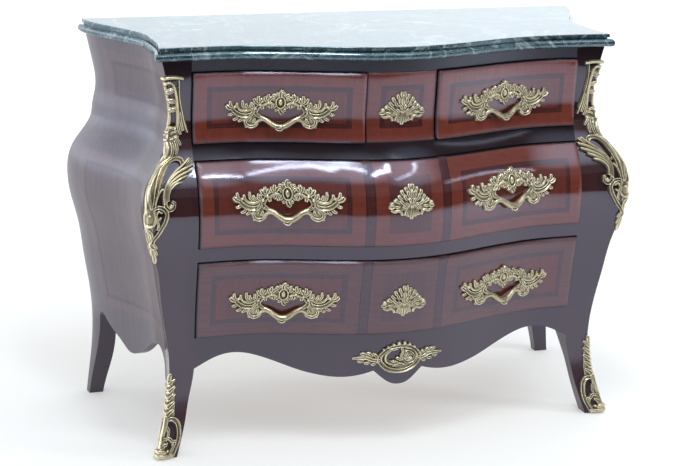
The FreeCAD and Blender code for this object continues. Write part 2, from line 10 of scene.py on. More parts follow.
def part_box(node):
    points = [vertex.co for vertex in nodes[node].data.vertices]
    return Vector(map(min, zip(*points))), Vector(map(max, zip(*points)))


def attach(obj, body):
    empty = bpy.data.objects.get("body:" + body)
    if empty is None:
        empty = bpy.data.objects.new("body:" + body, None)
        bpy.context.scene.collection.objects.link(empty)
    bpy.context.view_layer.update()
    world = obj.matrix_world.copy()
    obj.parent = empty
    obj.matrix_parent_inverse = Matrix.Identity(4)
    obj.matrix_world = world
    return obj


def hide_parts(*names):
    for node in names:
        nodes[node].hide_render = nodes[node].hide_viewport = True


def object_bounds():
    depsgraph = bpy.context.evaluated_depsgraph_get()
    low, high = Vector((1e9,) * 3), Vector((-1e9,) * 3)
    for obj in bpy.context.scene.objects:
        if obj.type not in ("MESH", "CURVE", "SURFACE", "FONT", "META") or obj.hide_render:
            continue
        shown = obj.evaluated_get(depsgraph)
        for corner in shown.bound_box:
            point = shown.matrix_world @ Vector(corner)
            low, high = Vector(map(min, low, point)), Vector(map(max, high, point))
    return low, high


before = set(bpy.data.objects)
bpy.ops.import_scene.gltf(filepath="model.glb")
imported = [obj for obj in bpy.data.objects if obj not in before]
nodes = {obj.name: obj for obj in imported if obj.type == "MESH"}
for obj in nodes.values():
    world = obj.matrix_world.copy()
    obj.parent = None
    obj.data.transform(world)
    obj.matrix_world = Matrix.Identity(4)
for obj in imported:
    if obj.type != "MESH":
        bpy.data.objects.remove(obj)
cad_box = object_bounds()
scene = bpy.context.scene

# ---- the chest's surfaces, in millimetres
# The same profiles and plan as the solids: (height, distance) pairs and the serpentine's sizes.
front_profile = [(0, 452), (60, 437), (120, 423), (190, 418), (260, 421), (340, 429), (420, 443),
                 (490, 453), (545, 453), (600, 438), (650, 405), (690, 388), (740, 384), (790, 388),
                 (856, 390)]
corner_profile = [(0, 528), (60, 514), (120, 503), (190, 499), (260, 505), (340, 518), (420, 530),
                  (490, 548), (545, 553), (600, 540), (638, 513), (655, 502), (668, 497), (692, 494),
                  (715, 489), (745, 486), (790, 493), (856, 508)]
front_swell = 78.0
front_swell_reach = 380.0
front_ear = 5.0
front_ear_length = 105.0
side_sweep = 80.0
side_sweep_start = 0.35
side_ear = 11.0
side_ear_length = 0.20
drawer_proud = 9.0           # how far a drawer front stands before the carcass
rear_plane = cad_box[1].y * 1000      # the frame is in metres, and its origin is under the middle
slope_step = 2.0             # for measuring how steep a surface is
corner_round = 7.0           # a corner ornament turns over this far on each side of the arris


def profile(pairs):
    """A natural cubic spline through the pairs, as a function that takes arrays of heights."""
    z = np.array([height for height, _ in pairs], float)
    d = np.array([distance for _, distance in pairs], float)
    step = np.diff(z)
    count = len(z)
    matrix = np.eye(count)
    right = np.zeros(count)
    for i in range(1, count - 1):
        matrix[i, i - 1:i + 2] = step[i - 1], 2 * (step[i - 1] + step[i]), step[i]
        right[i] = 6 * ((d[i + 1] - d[i]) / step[i] - (d[i] - d[i - 1]) / step[i - 1])
    bend = np.linalg.solve(matrix, right)

    def distance(height):
        height = np.asarray(height, float)
        i = np.clip(np.searchsorted(z, height) - 1, 0, count - 2)
        low = (z[i + 1] - height) / step[i]
        high = (height - z[i]) / step[i]
        curve = (low ** 3 - low) * bend[i] + (high ** 3 - high) * bend[i + 1]
        return low * d[i] + high * d[i + 1] + curve * step[i] ** 2 / 6

    return distance


front_depth = profile(front_profile)
corner_width = profile(corner_profile)


def front_y(x, z):
    """The carcass's front surface."""
    x = np.abs(x)
    swell = np.where(x < front_swell_reach, 0.5 * (1 + np.cos(np.pi * x / front_swell_reach)), 0.0)
    ear = np.maximum(0.0, 1 - (corner_width(z) - x) / front_ear_length)
    return rear_plane - front_depth(z) - front_swell * swell - front_ear * ear ** 2


def side_x(y, z):
    """The carcass's right side."""
    share = (y - rear_plane) / front_depth(z) + 1
    t = np.clip((share - side_sweep_start) / (1 - side_sweep_start), 0, 1)
    ear = np.maximum(0.0, 1 - np.maximum(share, 0.0) / side_ear_length) ** 2
    return corner_width(z) - side_ear * (1 - ear) + (side_sweep + side_ear) * t * t * (3 - 2 * t)


def unit(vectors):
    """The vectors, each at a length of 1."""
    return vectors / np.linalg.norm(vectors, axis=1)[:, None]


def rise(surface, across, z):
    """How steeply a surface moves as the height z grows."""
    return (surface(across, z + slope_step) - surface(across, z - slope_step)) / (2 * slope_step)


def off_front(flat, centre_x, centre_z, proud):
    """Lays flat (across, up, height) points on the front, round a centre, at their heights off it."""
    x = centre_x + flat[:, 0]
    z = centre_z + flat[:, 1]
    slope_x = (front_y(x + slope_step, z) - front_y(x - slope_step, z)) / (2 * slope_step)
    outward = unit(np.stack([slope_x, -np.ones_like(x), rise(front_y, x, z)], 1))
    surface = np.stack([x, front_y(x, z) - proud, z], 1)
    return surface + outward * flat[:, 2:3]


def off_corner(flat):
    """Wraps flat (across, height above floor, height off) points round the right front arris.

    Across is negative along the front, towards the middle, and positive back along the side.
    """
    across = flat[:, 0]
    z = flat[:, 1]
    corner_x = corner_width(z)
    corner_y = front_y(corner_x, z)
    x = corner_x + np.minimum(across, 0)
    y = corner_y + np.maximum(across, 0)
    on_front = np.stack([x, front_y(x, z), z], 1)
    on_side = np.stack([side_x(y, z), y, z], 1)
    front_slope = (front_y(x, z) - front_y(x - slope_step, z)) / slope_step
    front_out = unit(np.stack([front_slope, -np.ones_like(x), rise(front_y, x, z)], 1))
    side_slope = (side_x(y + slope_step, z) - side_x(y, z)) / slope_step
    side_out = unit(np.stack([np.ones_like(y), -side_slope, -rise(side_x, y, z)], 1))
    turn = np.clip((across + corner_round) / (2 * corner_round), 0, 1)
    turn = (turn * turn * (3 - 2 * turn))[:, None]
    outward = unit(front_out * (1 - turn) + side_out * turn)
    surface = np.where((across < 0)[:, None], on_front, on_side)
    return surface + outward * flat[:, 2:3]


# ---- cast ornament
# cross-sections of a stroke: (share of the half width, share of the height)
ROUND = [(-1, .25), (-.8, .66), (-.45, .92), (0, 1), (.45, .92), (.8, .66), (1, .25)]
RIDGE = [(-1, .2), (-.6, .5), (-.25, .82), (0, 1), (.25, .82), (.6, .5), (1, .2)]
DISH = [(-1, .45), (-.78, 1), (-.5, .78), (0, .5), (.5, .78), (.78, 1), (1, .45)]
LEAF = [(-1, .3), (-.7, .82), (-.38, 1), (0, .58), (.38, 1), (.7, .82), (1, .3)]
FLAT = [(-1, .8), (-.6, 1), (-.2, .92), (0, .96), (.2, .92), (.6, 1), (1, .8)]
sunk = 1.6                   # how far a casting goes on into the wood behind it
stroke_step = 1.3            # between the sections of a stroke
bead_sides = 14
voxel = 0.9
polish = 0.5                 # strength of each smoothing of a casting
polish_times = 2


def new_object(name, points, faces):
    """A mesh object in the scene."""
    mesh = bpy.data.meshes.new(name)
    mesh.from_pydata(points, [], faces)
    thing = bpy.data.objects.new(name, mesh)
    scene.collection.objects.link(thing)
    return thing


def stacked(rings, around):
    """The faces of a closed solid made of rings of points, each joined to the next."""
    faces = []
    for i in range(rings - 1):
        for j in range(around):
            k = (j + 1) % around
            faces.append([i * around + j, i * around + k, (i + 1) * around + k, (i + 1) * around + j])
    faces.append(list(reversed(range(around))))
    faces.append([(rings - 1) * around + j for j in range(around)])
    return faces


class Casting:
    """Strokes, leaves and beads on a flat drawing, in millimetres, that become one cast piece."""

    def __init__(self, fat=1.0, mirror=True):
        """Fat widens all strokes. Mirror says whether they are drawn on both sides of the middle."""
        self.fat = fat
        self.mirror = mirror
        self.points = []
        self.faces = []

    def add(self, points, faces, mirror):
        points = np.asarray(points, float)
        if mirror is None:
            mirror = self.mirror
        for side in ((1, -1) if mirror else (1,)):
            first = sum(len(p) for p in self.points)
            self.points.append(points * [side, 1, 1])
            self.faces += [[first + i for i in face[::side]] for face in faces]

    def stroke(self, path, width, height, section=ROUND, under=None, mirror=None):
        """A bar along a smooth path of (across, up) points.

        Half widths, heights and undersides are given evenly along it, as many as one likes.
        """
        centre = smooth_path(path)
        count = len(centre)
        along = np.linspace(0, 1, count)
        half = spread(width, along) * self.fat
        top = spread(height, along)
        low = np.full(count, -sunk) if under is None else spread(under, along)
        tangent = np.gradient(centre, axis=0)
        tangent /= np.linalg.norm(tangent, axis=1)[:, None]
        normal = np.stack([tangent[:, 1], -tangent[:, 0]], 1)
        rows = []
        for i in range(count):
            floor = 0.0 if under is None else low[i]
            across = normal[i] * half[i]
            row = [(*(centre[i] + across * s), floor + (top[i] - floor) * k) for s, k in section]
            row += [(*(centre[i] + across * s), low[i]) for s in (.85, -.85)]
            rows.append(row)
        self.add([p for row in rows for p in row], stacked(count, len(rows[0])), mirror)

    def bead(self, centre, radius, height, mirror=None, stretch=1.0):
        """A dome, stretched upward on the drawing by stretch."""
        rings = [(1.0, -sunk), (1.0, .15 * height), (.92, .5 * height), (.7, .8 * height),
                 (.38, .96 * height)]
        points = []
        for share, level in rings:
            for j in range(bead_sides):
                angle = 2 * math.pi * j / bead_sides
                points.append((centre[0] + radius * share * math.cos(angle),
                               centre[1] + radius * stretch * share * math.sin(angle), level))
        self.add(points, stacked(len(rings), bead_sides), mirror)

    def leaf(self, root, tip, width, height, bend=0.0, mirror=None):
        """One tapered leaf lobe from its root to its tip, bowed sideways by bend."""
        root = np.array(root, float)
        tip = np.array(tip, float)
        run = tip - root
        side = np.array([run[1], -run[0]])
        middle = (root + tip) / 2 + side * bend
        widths = [width * .5, width * .85, width, width, width * .62]
        heights = [height * .55, height * .9, height, height, height * .75]
        self.stroke([root, middle, tip], widths, heights, LEAF, mirror=mirror)

    def leaves(self, lobes, height, bend=0.0, mirror=None):
        """Lobes of one height, each a (root, tip, width)."""
        for root, tip, width in lobes:
            self.leaf(root, tip, width, height, bend, mirror)

    def cast(self):
        """The union of all the strokes as (points, faces)."""
        thing = new_object("drawing", np.concatenate(self.points).tolist(), self.faces)
        remesh = thing.modifiers.new("one piece", "REMESH")
        remesh.mode = "VOXEL"
        remesh.voxel_size = voxel
        smooth = thing.modifiers.new("polish", "SMOOTH")
        smooth.factor = polish
        smooth.iterations = polish_times
        evaluated = thing.evaluated_get(bpy.context.evaluated_depsgraph_get())
        result = evaluated.to_mesh()
        points = np.zeros(len(result.vertices) * 3)
        result.vertices.foreach_get("co", points)
        faces = [list(face.vertices) for face in result.polygons]
        evaluated.to_mesh_clear()
        bpy.data.meshes.remove(thing.data)
        return points.reshape(-1, 3), faces


def smooth_path(path):
    """Points every stroke_step along a Catmull-Rom curve through the path's points."""
    p = np.array(path, float)
    p = np.concatenate([[2 * p[0] - p[1]], p, [2 * p[-1] - p[-2]]])
    out = []
    for i in range(1, len(p) - 2):
        length = np.linalg.norm(p[i + 1] - p[i])
        pieces = max(2, int(round(length / stroke_step)))
        for t in np.arange(pieces) / pieces:
            out.append(.5 * (2 * p[i] + (p[i + 1] - p[i - 1]) * t
                             + (2 * p[i - 1] - 5 * p[i] + 4 * p[i + 1] - p[i + 2]) * t * t
                             + (3 * p[i] - p[i - 1] - 3 * p[i + 1] + p[i + 2]) * t ** 3))
    out.append(p[-2])
    return np.array(out)


def spread(values, along):
    """The values, given evenly from 0 to 1, at the shares along."""
    values = np.atleast_1d(np.asarray(values, float))
    return np.interp(along, np.linspace(0, 1, len(values)), values)


def gilt_piece(name, body, node, points, faces, flip=False):
    """One ornament in the place of its CAD node."""
    if flip:
        points = points * [-1, 1, 1]
        faces = [face[::-1] for face in faces]
    piece = new_object(name, (points / 1000).tolist(), faces)
    piece.data.shade_smooth()
    piece.data.materials.append(gilt)
    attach(piece, body)
    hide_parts(node)


def handle_drawing():
    """A pull: cartouche, leafy arches, crescents with their fringes, and the wavy bail."""
    c = Casting(fat=1.2)
    # cartouche: domed boss in an oval rim, leaves round it, crest and pendant
    rim = [(9.4 * math.sin(a), 19 + 12.5 * math.cos(a)) for a in np.linspace(0, math.pi, 9)]
    c.stroke([(0, 32), (0, 19), (0, 6)], [8, 11, 8], [4.5], FLAT, mirror=False)
    c.stroke(rim, [1.9], [8.5])
    c.bead((-0.5, 19.5), 5.6, 11.5, mirror=False, stretch=1.6)
    c.stroke([(0, 31), (-2, 37), (1, 43), (6, 42)], [4.8, 4.6, 4, 2.6], [9, 10, 9, 7], LEAF,
             mirror=False)
    c.leaf((4, 31), (10, 40), 3.6, 8, -.2)
    c.leaf((8, 28), (18, 36), 4, 8, -.15)
    c.leaf((11, 21), (20, 28), 3.6, 8, -.2)
    c.leaves([((11, 15), (18, 8), 3.8), ((6, 8), (12, 1), 3.6)], 8, .2)
    c.leaf((-1, 9), (6, -7), 5.4, 9.5, .15, mirror=False)
    # arch: clusters of short leaves on a winding stem, with tips towards the opening
    c.stroke([(14, 18), (25, 20), (36, 17), (45, 10), (51, 2), (51, -8)], [4.5, 5, 5, 4.5, 4, 4],
             [4.5], FLAT)
    for root, tips, width in [((25, 19), [(17, 31), (25, 37), (33, 33), (20, 5), (29, 9)], 4.4),
                              ((42, 14), [(37, 28), (46, 33), (56, 28), (37, 3)], 4.4),
                              ((52, 6), [(58, 19), (64, 14)], 3.8)]:
        c.leaves([(root, tip, width) for tip in tips], 8.5, .12)
        c.bead(root, 4.0, 10)
    c.stroke([(13, 14), (20, 18), (29, 17), (36, 12)], [3, 3.6, 3.4, 2.6], [8, 9, 9, 8])
    c.stroke([(33, 20), (44, 12), (51, 2), (50, -6), (42, -12)], [2.6, 3.6, 4.2, 4.2, 3.6],
             [8, 9, 9, 9, 9], DISH)
    # crescent: two rims with the hollow between them, tips above, fringe below, bud at the end
    c.stroke([(54, 2), (61, -7), (74, -10), (88, -6), (99, 3), (106, 12)], [3.4, 4.4, 4.6, 4.6, 4.2, 3],
             [7, 8, 8.5, 8.5, 8, 6], DISH)
    c.stroke([(57, 8), (63, 3), (73, 0), (84, 3), (90, 11)], [2.8, 3.6, 3.8, 3.4, 2.8],
             [7, 7.5, 7.5, 7, 6.5])
    c.leaf((99, 5), (115, 14), 5, 9, .1)
    c.leaf((99, 7), (106, 23), 3.8, 7.5, .15)
    c.bead((96, 10), 3.6, 8)
    c.leaves([((57, 8), (61, 20), 3.0), ((63, 5), (72, 17), 3.6), ((70, 2), (79, 24), 3.4),
              ((87, 6), (91, 19), 3.4)], 7.5, .18)
    c.leaves([((62, -9), (67, -21), 3.6), ((70, -11), (78, -23), 3.6), ((79, -10), (88, -23), 3.4),
              ((87, -7), (99, -19), 3.6), ((97, 0), (110, -7), 3.6)], 6.5, .15)
    # lower scroll, with a small hole
    c.stroke([(56, -10), (62, -22), (58, -32)], [5, 6, 6], [5], FLAT)
    c.stroke([(57, -2), (63, -11), (71, -19), (71, -28), (62, -34), (52, -31), (46, -24)],
             [3.2, 3.4, 3.6, 3.8, 4.4, 4.4, 3.6], [7, 7.5, 8, 8, 8, 8, 8], LEAF)
    c.leaf((63, -28), (74, -34), 3.6, 7, .1)
    c.leaf((52, -14), (57, -25), 3.4, 8, .1)
    # bail: two strands that join, leave the front, and carry a leaf knot where they dip
    c.stroke([(54, -32), (47, -23), (38, -18), (29, -19), (19, -26), (9, -32), (0, -34)],
             [3.6, 4.2, 4.6, 5.0, 5.4, 6.0, 6.8], [7, 9, 12, 15, 18, 20.5, 22],
             under=[-sunk, -sunk, 3, 7, 9, 10, 11])
    c.stroke([(50, -8), (43, -12), (35, -15), (27, -19), (19, -24)], [3.2, 3.8, 4, 3.6, 2.6],
             [7, 9, 12, 15.5, 18.5], under=[-sunk, -sunk, 4, 8, 10])
    c.stroke([(-10, -36), (-1, -38.5), (8, -30)], [3.2, 6.2, 2.8], [21, 23.5, 21], LEAF,
             under=[12, 12, 12], mirror=False)
    return c.cast()


def escutcheon_drawing():
    """A diamond of leaf lobes that overlap like scales, a bud at each end on a curl."""
    c = Casting(fat=1.1)
    c.stroke([(0, 34), (0, 18), (0, 2), (0, -12), (0, -22)], [4, 12, 14, 14, 7], [3], FLAT,
             mirror=False)
    c.stroke([(10, -2), (28, -2), (42, 0)], [9, 7, 4], [3], FLAT)
    # scales: rows from the edge inwards, each higher than the one outside it
    c.leaves([((1, 29), (3, 43), 4.2), ((7, 24), (13, 37), 4.0), ((14, 18), (23, 31), 4.2),
              ((19, 11), (30, 21), 4.0), ((24, 4), (37, 14), 4.2)], 7, .1)
    c.leaves([((5, 15), (8, 30), 4.0), ((9, 9), (17, 22), 4.0)], 8.5, .1)
    c.leaf((13, 1), (26, 11), 4.0, 8, .1)
    c.leaf((-1, 9), (0, 31), 4.2, 9, mirror=False)
    c.leaf((3, 2), (8, 15), 3.8, 9, -.12)
    c.leaf((6, -5), (15, 5), 3.8, 7.5, -.12)
    c.leaf((10, -9), (21, -2), 3.8, 6.5, -.12)
    c.leaf((1, -7), (4, 5), 3.6, 7.4, -.12)
    # buds and the curls under them
    c.bead((44, 3), 5.6, 8.5)
    c.bead((37, 9), 4.2, 7.5)
    c.leaf((37, -1), (51, -3), 4.6, 7, .1)
    c.leaf((26, -1), (38, -3), 3.6, 6.5, .1)
    c.stroke([(46, -9), (38, -13), (30, -11), (24, -14), (21, -21)], [3, 3.6, 3.6, 3.4, 3], [5.5])
    # lower lobes and the pendant
    c.leaves([((11, -6), (16, -22), 4.0), ((5, -8), (9, -25), 3.8)], 4.8, .1)
    c.leaf((0, -6), (-1, -30), 5.2, 5, mirror=False)
    return c.cast()


def apron_drawing():
    """An oval ring with a knobbed crest, leaves that fill its right half, and leafy wings."""
    c = Casting(fat=1.15, mirror=False)
    c.stroke([(-32, -6), (-16, -17), (4, -20), (24, -14)], [5, 6, 7, 6], [4], FLAT)
    c.stroke([(16, 18), (24, 6), (22, -8)], [9, 12, 10], [4], FLAT)
    c.stroke([(2, 27), (-20, 24), (-36, 14), (-45, 2), (-42, -10), (-26, -25), (0, -31), (24, -26),
              (41, -14), (46, 0), (38, 14), (22, 24), (2, 27)],
             [3.4, 3.8, 4.2, 5, 5.2, 5, 4.8, 4.6, 4.4, 4, 3.6, 3.4],
             [8, 8, 8.5, 9, 9, 9, 9, 9, 8.5, 8, 8, 8], DISH)
    c.stroke([(-4, 20), (-20, 17), (-31, 6), (-30, -8), (-16, -15), (2, -14), (12, -18)],
             [2.4, 2.6, 2.8, 2.8, 2.8, 2.6, 2.4], [6, 6.5, 7, 7, 7, 7, 6])
    for knob, size in [((-36, 20), 3.0), ((-26, 25), 3.6), ((-14, 30), 4.0), ((-2, 33), 4.6),
                       ((11, 33), 4.6), ((23, 29), 4.0), ((34, 22), 3.6), ((43, 13), 3.0)]:
        c.bead(knob, size, 9)
    # scroll and leaves in the right half
    c.stroke([(6, 12), (17, 17), (30, 13), (37, 2), (32, -9), (19, -13), (11, -7)],
             [2.8, 3.4, 3.8, 3.8, 3.6, 3.2, 2.6], [7, 8, 8.5, 8.5, 8, 8, 7], DISH)
    c.stroke([(5, 22), (7, 12), (4, 2), (6, -8)], [3, 3.4, 3.4, 3], [7, 8, 8, 7], LEAF)
    c.leaves([((5, -4), (22, 9), 4.6), ((12, -6), (29, -1), 4), ((4, -9), (-8, 0), 3.6),
              ((0, -15), (-20, -8), 3.4), ((8, 3), (17, 12), 3.4), ((2, -20), (-16, -19), 3)],
             9, .12)
    # wings
    c.stroke([(44, -4), (58, -3), (76, 3), (104, 1)], [4, 5.4, 5.4, 2.2], [8, 8, 8, 5], LEAF,
             mirror=True)
    c.leaves([((50, -1), (60, 11), 4), ((60, 1), (74, 14), 4.4), ((71, 4), (88, 12), 4)], 7.5, -.2,
             mirror=True)
    c.leaves([((52, -6), (64, -13), 3.6), ((64, -3), (79, -9), 3.8), ((78, 0), (93, -5), 3.4)], 7.5, .2,
             mirror=True)
    c.bead((50, -7), 4.4, 8, mirror=True)
    return c.cast()


def upper_corner_drawing():
    """A pierced strap under a small cornice, a leaf edge beside it, and a cup of leaves at its foot."""
    c = Casting(fat=1.1, mirror=False)
    c.stroke([(24, 814), (8, 820), (-8, 821), (-22, 821), (-37, 818)], [3.4, 4, 4.2, 4, 3.4],
             [8, 10, 10, 10, 8])
    # the strap's ground, with its holes between the bars
    c.stroke([(-20, 800), (-18, 780), (-17, 756), (-20, 730), (-25, 706)], [4, 5, 6, 8, 9.5], [4], FLAT)
    c.stroke([(18, 812), (18, 780), (18, 750), (18, 715), (18, 694)], [9, 11, 11, 11, 9], [4], FLAT)
    for z, lean in [(792, 4), (773, -3), (753, 2), (712, -2)]:
        c.stroke([(-13, z + lean), (12, z - lean)], [5.4, 5.4], [4.5], FLAT)
        c.stroke([(-12, z + lean), (-3, z + 2), (6, z - lean)], [2.4, 3.4, 2.4], [7, 8.5, 7], LEAF)
    # ribs: the outer edge, the arched head with its strand, and the leaf edge towards the middle
    c.stroke([(6, 812), (5, 790), (7, 765), (4, 740), (5, 715), (4, 700)],
             [3.6, 3.8, 3.6, 3.6, 3.8, 3.4], [7])
    c.stroke([(24, 810), (23, 770), (24, 735), (20, 700)], [2.6, 2.8, 2.8, 2.4], [6], RIDGE)
    c.stroke([(-27, 815), (-23, 798), (-20, 780), (-20, 758), (-25, 732), (-32, 716), (-40, 702)],
             [2.6, 2.8, 3, 3.2, 3.8, 4.4, 2.4], [7, 8, 8, 8, 8, 8, 6], RIDGE)
    c.stroke([(6, 804), (-3, 811), (-12, 806), (-14, 792), (-13, 772), (-12, 752), (-13, 732),
              (-15, 714)], [3, 3.4, 3.6, 3.6, 3.8, 4, 4, 3.6], [7, 8, 8, 8, 8, 8, 8, 7])
    c.stroke([(-16, 748), (-20, 726), (-29, 706)], [2.8, 4, 3], [7, 8, 6], LEAF)
    c.stroke([(-14, 724), (-19, 708), (-26, 699)], [2.8, 4, 2.6], [7, 8, 6], LEAF)
    # curls over the cup, and the cup
    c.stroke([(4, 716), (4, 690), (-2, 670), (-6, 655)], [10, 15, 14, 8], [4.5], FLAT)
    c.stroke([(-12, 702), (-14, 686), (-16, 672)], [7, 9, 6], [4.5], FLAT)
    for centre, size in [((-9, 712), 3.6), ((3, 704), 3.6), ((-7, 690), 4.2), ((4, 688), 4.2),
                         ((13, 696), 3.4)]:
        c.bead(centre, size, 9.5)
    c.leaves([((-3, 701), (-17, 705), 3.4), ((-4, 686), (-22, 694), 3.4)], 8, .2)
    c.leaves([((-12, 694), (-27, 676), 3.6), ((-10, 694), (-20, 658), 4.4), ((-4, 690), (-10, 652), 4.6),
              ((4, 690), (1, 652), 4.6), ((9, 690), (12, 658), 4.2)], 8.5, .06)
    return c.cast()


def lower_corner_drawing():
    """Reeds down the arris, a hooked scroll, a leaf spray that ends in a volute, and a pierced tail."""
    c = Casting(fat=1.12, mirror=False)
    # reeds, and the ground between them and the hook
    c.stroke([(-2, 652), (-2, 620), (-3, 590), (-5, 562)], [7, 8, 8, 6], [4.5], FLAT)
    c.stroke([(-8, 655), (1, 638), (3, 616), (2, 596), (-2, 577), (-6, 558)],
             [2.4, 3.2, 3.4, 3.2, 3, 2.6], [7, 9, 9.5, 9, 8, 7])
    c.stroke([(1, 656), (9, 640), (10, 618), (8, 596), (3, 574), (0, 554)],
             [2.4, 3.2, 3.4, 3.2, 2.8, 2.4], [7, 9, 9, 9, 8, 7])
    c.stroke([(9, 653), (16, 632), (16, 610), (13, 588), (8, 562)], [2, 2.8, 3, 2.8, 2.4],
             [6, 8, 8, 8, 6])
    c.leaf((8, 645), (19, 656), 2.8, 6, .1)
    # hooked scroll
    c.stroke([(-10, 556), (-12, 575), (-10, 598), (-7, 620), (-7, 638), (-14, 648), (-26, 650),
              (-37, 645), (-42, 636), (-36, 632)],
             [3, 4, 4.8, 5.2, 5.2, 5, 4.6, 4, 3.4, 2.2], [7, 9, 10, 11, 11, 11, 10, 9, 8, 7], DISH)
    # spray: long lobes side by side from the volute to their tips
    for path, width in [([(-34, 566), (-29, 588), (-28, 608), (-34, 624), (-44, 637), (-51, 650)], 4.0),
                        ([(-35, 568), (-31, 588), (-31, 607), (-39, 621), (-54, 631), (-69, 638)], 4.2),
                        ([(-37, 570), (-34, 590), (-35, 604), (-45, 615), (-58, 622), (-72, 628)], 3.6),
                        ([(-39, 571), (-37, 588), (-38, 600), (-48, 608), (-57, 613), (-66, 617)], 3.2),
                        ([(-42, 572), (-39, 584), (-41, 595), (-50, 603), (-61, 606)], 3.0)]:
        widths = [width * k for k in (.8, .9, 1, 1.15, 1.1, .8)]
        c.stroke(path, widths, [9, 10.5, 12, 12, 12, 9])
    c.leaf((-52, 634), (-60, 648), 4.4, 11, .1)
    c.stroke([(-34, 572), (-38, 560), (-47, 554), (-55, 559), (-55, 568), (-49, 571)],
             [4, 3.8, 3.4, 3, 2.6, 2.2], [9, 9, 9, 9, 9, 8], DISH)
    c.bead((-48, 562), 5.2, 12)
    # between the hook and the spray
    c.stroke([(-14, 568), (-16, 583), (-21, 594), (-28, 593)], [2.6, 3.4, 3.4, 2.4], [7, 9, 9.5, 9])
    c.leaf((-20, 604), (-10, 612), 2.6, 7, .1)
    # cartouche, its ground, and the strands inside it
    c.stroke([(-6, 560), (-5, 536), (0, 512), (0, 490)], [6, 7, 8, 5], [3.5], FLAT)
    c.stroke([(8, 560), (9, 535), (6, 512)], [5, 5, 5], [3.5], FLAT)
    c.stroke([(-9, 557), (-20, 561), (-32, 558), (-40, 547), (-36, 531), (-27, 517), (-17, 504),
              (-7, 494), (-2, 482), (-5, 474)],
             [2.8, 3.4, 4, 4.2, 4.2, 4, 3.8, 3.4, 3, 2], [8, 9, 9.5, 9.5, 9.5, 9, 8.5, 8, 7, 6], DISH)
    c.stroke([(-13, 554), (-16, 538), (-12, 527), (-3, 522), (4, 528), (5, 542), (1, 554)],
             [3, 3.4, 3.4, 3.2, 3, 3, 2.6], [7, 8, 8.5, 8.5, 8, 8, 7])
    c.stroke([(-28, 540), (-21, 536), (-17, 545), (-22, 553), (-30, 549)], [2.2, 2.6, 2.8, 2.6, 2],
             [6, 7, 8, 8, 7])
    c.stroke([(-16, 540), (-21, 526), (-18, 514)], [2.6, 3.2, 2.4], [7, 8, 6], LEAF)
    c.bead((-4, 545), 2.6, 7)
    c.stroke([(9, 562), (11, 540), (9, 515), (5, 495), (0, 480)], [2.4, 3, 3.4, 3, 2.2],
             [6, 7, 7.5, 7, 6], RIDGE)
    c.stroke([(3, 520), (-4, 508), (-4, 494)], [2.8, 3.4, 2.6], [7, 7.5, 6], LEAF)
    # tail
    c.stroke([(0, 492), (-1, 470), (0, 452)], [6, 5, 2.5], [3.5], FLAT)
    c.leaves([((-2, 490), (-10, 473), 3.4), ((1, 488), (8, 471), 3.4), ((-1, 480), (-7, 459), 3.2),
              ((1, 478), (6, 457), 3.2), ((0, 472), (0, 441), 3.4)], 7, .05)
    return c.cast()


def sabot_drawing():
    """A chain of paired leaves down the arris, an open scrolled frame, and its toe."""
    c = Casting(fat=1.15, mirror=False)
    c.stroke([(-1, 172), (-2, 140), (-3, 110), (-4, 84)], [4, 8, 11, 12], [3.5], FLAT)
    for z, width in [(166, 3.4), (150, 4.2), (133, 4.6), (116, 5.0), (99, 5.2)]:
        c.leaf((-1, z - 16), (-9 - width, z + 3), width, 8, .18)
        c.leaf((1, z - 16), (6 + width, z + 2), width * .8, 7, -.18)
        c.bead((-1, z - 11), 3.0, 9.5)
    c.leaf((0, 158), (-3, 182), 3.4, 7)
    # frame, on the front and on the side
    c.stroke([(-3, 82), (-14, 82), (-24, 75), (-30, 62), (-33, 46), (-32, 30), (-28, 16), (-25, 5)],
             [3.6, 4.6, 5, 4.8, 4.6, 4.6, 4.6, 4.6], [8, 9, 10, 10, 9.5, 9, 9, 9], DISH)
    c.stroke([(1, 82), (10, 78), (17, 66), (20, 48), (20, 28), (22, 6)], [3, 3.4, 3.6, 3.8, 4, 4],
             [7, 8, 8.5, 8.5, 8, 8], DISH)
    c.stroke([(-2, 86), (-1, 66), (1, 48), (0, 30), (0, 10)], [4, 3.8, 4, 4.4, 5], [9, 9, 9, 10, 12])
    c.stroke([(7, 74), (8, 52), (10, 30), (12, 10)], [4.5, 5, 5, 6], [3.5], FLAT)
    c.stroke([(-3, 68), (-8, 58), (-8, 47), (-4, 38)], [2.8, 3.4, 3.4, 2.8], [7, 9, 9, 8], LEAF)
    c.stroke([(-2, 42), (-12, 42), (-20, 35), (-30, 36)], [3.2, 4.2, 4, 3], [8, 10.5, 10, 8], LEAF)
    c.stroke([(-20, 36), (-24, 24), (-20, 10)], [4, 4, 5], [8, 8, 8])
    c.stroke([(1, 42), (9, 40), (17, 36)], [2.2, 2.8, 2], [7, 8.5, 7], LEAF)
    c.leaf((-3, 18), (-10, 34), 3.6, 10, .2)
    c.leaf((3, 20), (11, 32), 2.8, 8, -.2)
    # toe
    c.stroke([(-27, 5), (-14, 5.5), (0, 6), (12, 5.5), (24, 5)], [4.6, 5, 6, 5, 4.6],
             [11, 13, 15, 12, 10])
    c.stroke([(-9, 12), (0, 15), (8, 12)], [5, 6.5, 5], [12, 17, 12])
    c.bead((-12, 16), 4.4, 12)
    c.bead((10, 17), 4, 11)
    return c.cast()


# ---- node trees
def feed(tree, node, values):
    """Fills inputs of the node, by name or number, with links, plain numbers or colours."""
    for name, value in values.items():
        if isinstance(value, Value):
            value = value.socket
        if isinstance(value, bpy.types.NodeSocket):
            tree.links.new(value, node.inputs[name])
        else:
            node.inputs[name].default_value = value


def new_node(tree, kind, values):
    """A node with its inputs filled."""
    node = tree.nodes.new("ShaderNode" + kind)
    feed(tree, node, values)
    return node


